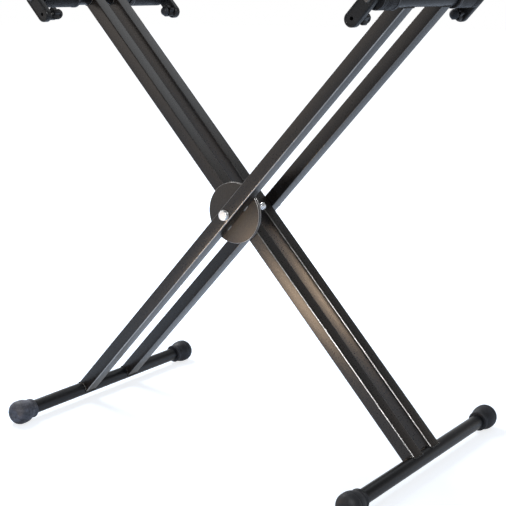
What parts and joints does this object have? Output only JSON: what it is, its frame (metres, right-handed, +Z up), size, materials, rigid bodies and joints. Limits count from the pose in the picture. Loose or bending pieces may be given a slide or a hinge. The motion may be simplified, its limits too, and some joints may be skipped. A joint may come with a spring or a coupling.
{
  "type": "folding keyboard stand",
  "caption": "Folding double-braced X stand for a keyboard instrument, with two crossing welded tube frames, a disc lock at the pivot, rubber foot caps and swing-up stops on the arm ends.",
  "frame": {"origin": "on the floor under the pivot axis, midway between the two outer legs", "axes": "+X across the crossed legs towards the arm of the outer frame, +Y along the foot tubes away from the pivot discs, +Z up"},
  "size_m": [0.7788, 0.524, 0.8159],
  "materials": {
    "frame_paint": "satin black powder coat",
    "weld_bead": "painted weld bead",
    "disc_paint": "satin brown-black paint",
    "foot_rubber": "matt moulded rubber",
    "sleeve_rubber": "matt rubber",
    "plug_plastic": "moulded plastic",
    "stop_casting": "moulded plastic, fine grain",
    "knob_plastic": "moulded plastic",
    "pad_rubber": "soft rubber",
    "screw_steel": "dark zinc plate",
    "spring_steel": "bright spring wire",
    "lock_chrome": "polished chrome plate",
    "lock_knob": "moulded knob",
    "bush_nylon": "natural nylon",
    "pivot_zinc": "bright zinc plate"
  },
  "bodies": {
    "outer_frame": {"outer_leg_front": "frame_paint", "outer_leg_rear": "frame_paint", "outer_foot_tube": "frame_paint", "outer_arm_tube": "frame_paint", "outer_frame_welds": "weld_bead", "outer_stop_retainers": "screw_steel", "outer_foot_cap_near": "foot_rubber", "outer_sleeve_near": "sleeve_rubber", "outer_end_plug_near": "plug_plastic", "outer_foot_cap_far": "foot_rubber", "outer_sleeve_far": "sleeve_rubber", "outer_end_plug_far": "plug_plastic", "outer_disc": "disc_paint", "outer_disc_welds": "weld_bead", "pivot_bolt": "pivot_zinc", "pivot_nut": "pivot_zinc", "pivot_washers": "pivot_zinc"},
    "inner_frame": {"inner_leg_front": "frame_paint", "inner_leg_rear": "frame_paint", "inner_foot_tube": "frame_paint", "inner_arm_tube": "frame_paint", "inner_frame_welds": "weld_bead", "inner_stop_retainers": "screw_steel", "inner_foot_cap_near": "foot_rubber", "inner_sleeve_near": "sleeve_rubber", "inner_end_plug_near": "plug_plastic", "inner_foot_cap_far": "foot_rubber", "inner_sleeve_far": "sleeve_rubber", "inner_end_plug_far": "plug_plastic", "inner_disc": "disc_paint", "inner_disc_welds": "weld_bead", "pivot_bushes": "bush_nylon", "pivot_spacer": "pivot_zinc", "lock_housing": "lock_chrome", "lock_spring": "spring_steel"},
    "lock_plunger": {"lock_pin": "lock_chrome", "lock_knob": "lock_knob"},
    "outer_stop_near": {"outer_stop_near": "stop_casting"},
    "outer_clamp_near": {"outer_stop_knob_near": "knob_plastic", "outer_stop_screw_near": "screw_steel", "outer_stop_pad_near": "pad_rubber"},
    "outer_stop_far": {"outer_stop_far": "stop_casting"},
    "outer_clamp_far": {"outer_stop_knob_far": "knob_plastic", "outer_stop_screw_far": "screw_steel", "outer_stop_pad_far": "pad_rubber"},
    "inner_stop_near": {"inner_stop_near": "stop_casting"},
    "inner_clamp_near": {"inner_stop_knob_near": "knob_plastic", "inner_stop_screw_near": "screw_steel", "inner_stop_pad_near": "pad_rubber"},
    "inner_stop_far": {"inner_stop_far": "stop_casting"},
    "inner_clamp_far": {"inner_stop_knob_far": "knob_plastic", "inner_stop_screw_far": "screw_steel", "inner_stop_pad_far": "pad_rubber"}
  },
  "joints": [
    {"name": "fold", "type": "hinge", "parent": "outer_frame", "child": "inner_frame", "pos_m": [0, 0, 0.41791], "axis": [0, 1, 0], "range_deg": [-26, 78]},
    {"name": "lock_plunger_pull", "type": "slide", "parent": "inner_frame", "child": "lock_plunger", "axis": [0, -1, 0], "range_m": [0, 0.0037]},
    {"name": "outer_stop_near_swing", "type": "hinge", "parent": "outer_frame", "child": "outer_stop_near", "pos_m": [0.35059, -0.1815, 0.79652], "axis": [0, 1, 0], "range_deg": [0, 180]},
    {"name": "outer_clamp_near_screw", "type": "slide", "parent": "outer_stop_near", "child": "outer_clamp_near", "axis": [0, 1, 0], "range_m": [-0.009, 0.0005]},
    {"name": "outer_stop_far_swing", "type": "hinge", "parent": "outer_frame", "child": "outer_stop_far", "pos_m": [0.35059, 0.1815, 0.79652], "axis": [0, 1, 0], "range_deg": [0, 180]},
    {"name": "outer_clamp_far_screw", "type": "slide", "parent": "outer_stop_far", "child": "outer_clamp_far", "axis": [0, -1, 0], "range_m": [-0.004, 0.0055]},
    {"name": "inner_stop_near_swing", "type": "hinge", "parent": "inner_frame", "child": "inner_stop_near", "pos_m": [-0.35059, -0.1815, 0.79652], "axis": [0, -1, 0], "range_deg": [0, 180]},
    {"name": "inner_clamp_near_screw", "type": "slide", "parent": "inner_stop_near", "child": "inner_clamp_near", "axis": [0, 1, 0], "range_m": [-0.009, 0.0005]},
    {"name": "inner_stop_far_swing", "type": "hinge", "parent": "inner_frame", "child": "inner_stop_far", "pos_m": [-0.35059, 0.1815, 0.79652], "axis": [0, -1, 0], "range_deg": [0, 180]},
    {"name": "inner_clamp_far_screw", "type": "slide", "parent": "inner_stop_far", "child": "inner_clamp_far", "axis": [0, -1, 0], "range_m": [0, 0.0095]}
  ]
}
